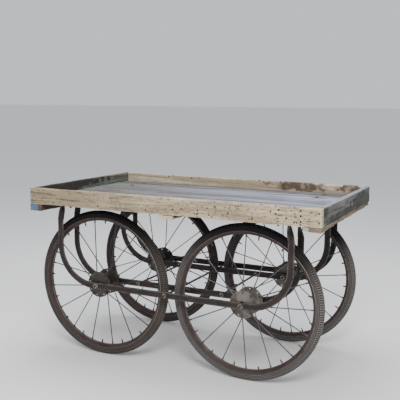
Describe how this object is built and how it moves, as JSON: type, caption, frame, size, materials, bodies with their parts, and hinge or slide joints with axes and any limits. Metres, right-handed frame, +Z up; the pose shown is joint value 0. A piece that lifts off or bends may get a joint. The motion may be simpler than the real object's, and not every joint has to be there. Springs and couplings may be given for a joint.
{
  "type": "hand cart",
  "caption": "Wooden hand cart: a shallow plank tray on spoked wheels that run between bent flat-iron bars.",
  "frame": {"origin": "on the ground under the middle of the whole cart", "axes": "+X along the tray, +Y across it to the rear side, +Z up"},
  "size_m": [1.469, 0.888, 0.818],
  "materials": {
    "board_wood": "weathered, bleached by the sun, stained",
    "deck_wood": "worn grey with scraps of old blue paint",
    "batten_wood": "dark, weathered",
    "rusty_nail": "rusted",
    "flat_iron": "worn dark paint over rust",
    "plated_fastener": "dull plating",
    "plain_rod": "dark, lightly rusted",
    "bearing_steel": "ground and greasy",
    "tyre_rubber": "dusty",
    "tube_rubber": "matte",
    "rim_paint": "worn red-brown paint and rust",
    "hub_steel": "dull, dusty",
    "spoke_steel": "dark, tarnished"
  },
  "bodies": {
    "tray_and_frame": {"deck_plank_1": "deck_wood", "deck_plank_2": "deck_wood", "deck_plank_3": "deck_wood", "deck_plank_4": "deck_wood", "deck_plank_5": "deck_wood", "rim_board_front": "board_wood", "rim_board_left": "board_wood", "rim_board_right": "board_wood", "rim_board_rear_short": "board_wood", "rim_board_rear_long": "board_wood", "batten_left": "batten_wood", "batten_middle": "batten_wood", "batten_right": "batten_wood", "board_nails": "rusty_nail", "deck_nails": "rusty_nail", "bar_front_outer": "flat_iron", "bar_front_inner": "flat_iron", "bar_rear_inner": "flat_iron", "bar_rear_outer": "flat_iron", "foot_bolts": "plated_fastener", "foot_nuts": "plated_fastener", "tie_rod_left": "plain_rod", "tie_rod_middle": "plain_rod", "tie_rod_right": "plain_rod", "rod_nuts": "plated_fastener", "front_left_axle": "plain_rod", "front_right_axle": "plain_rod", "rear_left_axle": "plain_rod", "rear_right_axle": "plain_rod", "bearing_cones": "bearing_steel", "axle_nuts": "plated_fastener", "axle_washers": "plated_fastener"},
    "front_left_wheel": {"front_left_tyre": "tyre_rubber", "front_left_inner_tube": "tube_rubber", "front_left_rim": "rim_paint", "front_left_hub_shell": "hub_steel", "front_left_spokes": "spoke_steel", "front_left_nipples": "spoke_steel", "front_left_bearing_balls": "bearing_steel"},
    "front_right_wheel": {"front_right_tyre": "tyre_rubber", "front_right_inner_tube": "tube_rubber", "front_right_rim": "rim_paint", "front_right_hub_shell": "hub_steel", "front_right_spokes": "spoke_steel", "front_right_nipples": "spoke_steel", "front_right_bearing_balls": "bearing_steel"},
    "rear_left_wheel": {"rear_left_tyre": "tyre_rubber", "rear_left_inner_tube": "tube_rubber", "rear_left_rim": "rim_paint", "rear_left_hub_shell": "hub_steel", "rear_left_spokes": "spoke_steel", "rear_left_nipples": "spoke_steel", "rear_left_bearing_balls": "bearing_steel"},
    "rear_right_wheel": {"rear_right_tyre": "tyre_rubber", "rear_right_inner_tube": "tube_rubber", "rear_right_rim": "rim_paint", "rear_right_hub_shell": "hub_steel", "rear_right_spokes": "spoke_steel", "rear_right_nipples": "spoke_steel", "rear_right_bearing_balls": "bearing_steel"}
  },
  "joints": [
    {"name": "front_left_spin", "type": "hinge", "parent": "tray_and_frame", "child": "front_left_wheel", "pos_m": [-0.3795, -0.294, 0.355], "axis": [0, 1, 0], "continuous": true},
    {"name": "front_right_spin", "type": "hinge", "parent": "tray_and_frame", "child": "front_right_wheel", "pos_m": [0.3645, -0.294, 0.355], "axis": [0, 1, 0], "continuous": true},
    {"name": "rear_left_spin", "type": "hinge", "parent": "tray_and_frame", "child": "rear_left_wheel", "pos_m": [-0.3795, 0.279, 0.355], "axis": [0, 1, 0], "continuous": true},
    {"name": "rear_right_spin", "type": "hinge", "parent": "tray_and_frame", "child": "rear_right_wheel", "pos_m": [0.3645, 0.279, 0.355], "axis": [0, 1, 0], "continuous": true}
  ]
}
